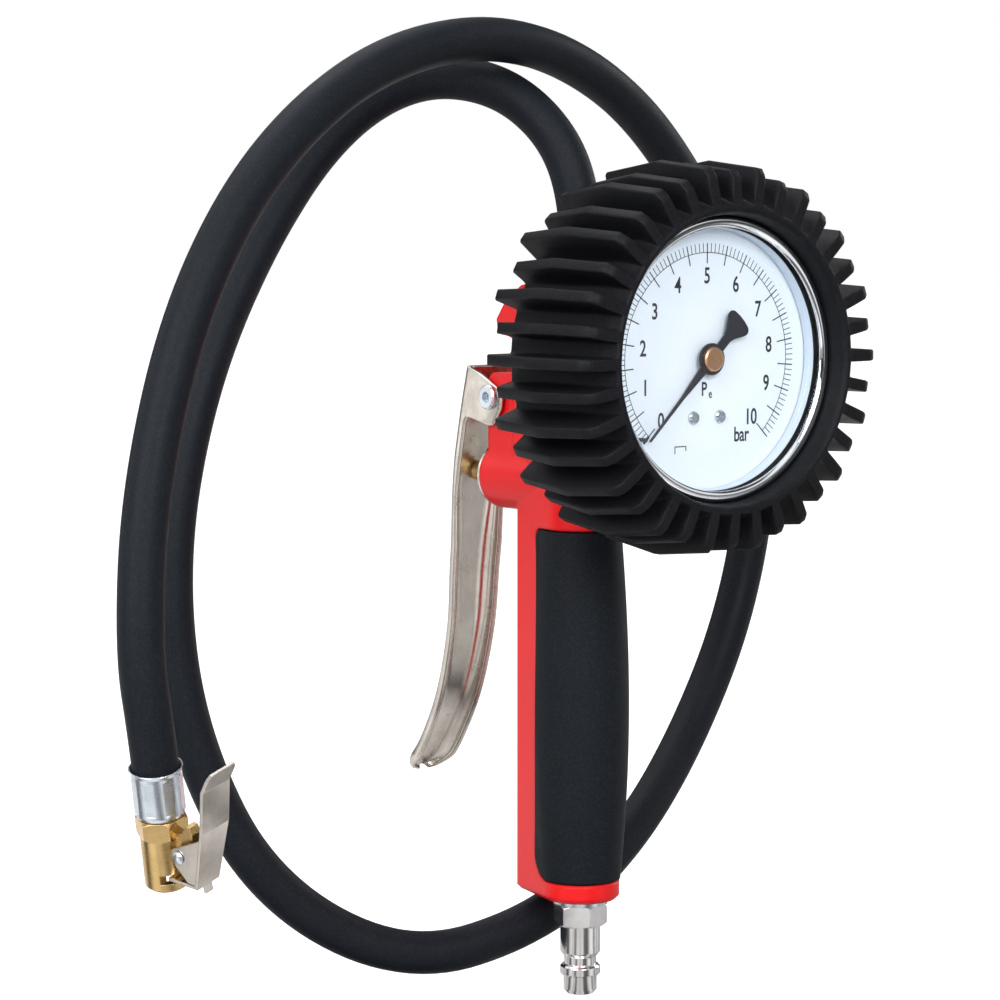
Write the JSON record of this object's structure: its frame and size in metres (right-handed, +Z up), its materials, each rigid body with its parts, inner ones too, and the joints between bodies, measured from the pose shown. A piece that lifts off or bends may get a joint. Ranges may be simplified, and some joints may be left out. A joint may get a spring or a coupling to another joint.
{
  "type": "tyre inflator with gauge",
  "caption": "Pistol-style air line tyre inflator: red handle with rubber grip, squeeze lever, dial gauge in a finned rubber cover, looped hose and clip-on chuck.",
  "frame": {"origin": "on the handle's axis, where the nose of the air inlet plug meets its collar; the air line that holds the tool up plugs on here", "axes": "+Z up along the handle, +Y from the gauge towards the squeeze lever, +X to the right seen from the gauge's face"},
  "size_m": [0.2826, 0.1513, 0.2895],
  "materials": {
    "red_paint": "smooth satin red enamel on a die-cast housing",
    "grip_rubber": "soft matte black moulded rubber",
    "cover_rubber": "matte black moulded rubber with a fine grain",
    "nickel": "nickel plating, slightly warm, polished and streaked",
    "zinc": "bright zinc plating",
    "chrome": "polished chrome",
    "brass": "turned and lightly brushed brass",
    "dial_white": "white enamelled dial with printed black scale",
    "dial_black": "matte black lacquer",
    "glass": "clear polished window",
    "hose_rubber": "matte black rubber hose with a smooth cover",
    "seal_rubber": "black nitrile rubber",
    "case_steel": "black lacquered steel",
    "spring_steel": "spring steel wire"
  },
  "bodies": {
    "root": {"body_casting": "red_paint", "grip_insert": "grip_rubber", "inlet_plug": "nickel", "inlet_washer": "zinc", "inlet_filter": "brass", "valve_cap": "nickel", "stem_seal": "seal_rubber", "valve_seat": "brass", "valve_spring": "spring_steel", "pivot_screw": "zinc", "pivot_nut": "zinc", "gauge_cover": "cover_rubber", "gauge_case": "case_steel", "bezel_ring": "chrome", "gauge_window": "glass", "window_gasket": "seal_rubber", "dial_plate": "dial_white", "dial_screws": "zinc", "stop_pin": "dial_black", "gauge_socket": "brass", "stem_nut": "brass", "case_screws": "zinc", "bourdon_tube": "brass", "tube_end": "brass", "movement_front_plate": "brass", "movement_back_plate": "brass", "movement_pillars": "brass", "hairspring": "spring_steel", "hose_nipple": "brass", "head_ferrule": "zinc", "hose": "hose_rubber", "chuck_ferrule": "zinc", "chuck_body": "brass", "chuck_seal": "seal_rubber", "valve_depressor": "brass", "clip_pin": "zinc", "clip_spring": "spring_steel"},
    "lever": {"trigger_lever": "nickel"},
    "stem": {"valve_stem": "brass", "valve_poppet": "seal_rubber"},
    "sector": {"sector_gear": "brass"},
    "link": {"tube_link": "brass"},
    "pinion": {"pointer_arbor": "brass", "pointer": "dial_black", "pointer_cap": "brass"},
    "clip": {"clip_lever": "nickel"}
  },
  "joints": [
    {"name": "lever_squeeze", "type": "hinge", "parent": "root", "child": "lever", "pos_m": [0, 0.0324, 0.172], "axis": [-1, 0, 0], "range_deg": [0, 10], "stiffness_Nm_per_rad": 4, "springref_deg": -2.86},
    {"name": "stem_travel", "type": "slide", "parent": "root", "child": "stem", "axis": [0, -1, 0], "range_m": [0, 0.0045], "deforming": ["valve_spring"]},
    {"name": "sector_turn", "type": "hinge", "parent": "root", "child": "sector", "pos_m": [0.01006, -0.0562, 0.16918], "axis": [0, -1, 0], "range_deg": [0, 30], "stiffness_Nm_per_rad": 0.002},
    {"name": "pointer_turn", "type": "hinge", "parent": "root", "child": "pinion", "pos_m": [0, -0.0562, 0.1866], "axis": [0, 1, 0], "range_deg": [0, 270.5]},
    {"name": "link_swing", "type": "hinge", "parent": "sector", "child": "link", "pos_m": [0.01488, -0.0562, 0.16561], "axis": [0, -1, 0], "range_deg": [-30.5, 0]},
    {"name": "clip_press", "type": "hinge", "parent": "root", "child": "clip", "pos_m": [-0.14598, -0.01574, 0.058], "axis": [-0.9325, -0.2443, -0.2659], "range_deg": [0, 14], "stiffness_Nm_per_rad": 0.25, "springref_deg": -5.73}
  ],
  "couplings": [
    {"joint": "stem_travel", "follows": "lever_squeeze", "m_per_rad": 0.024},
    {"joint": "pointer_turn", "follows": "sector_turn", "ratio": 9},
    {"joint": "link_swing", "follows": "sector_turn", "ratio": -1}
  ]
}
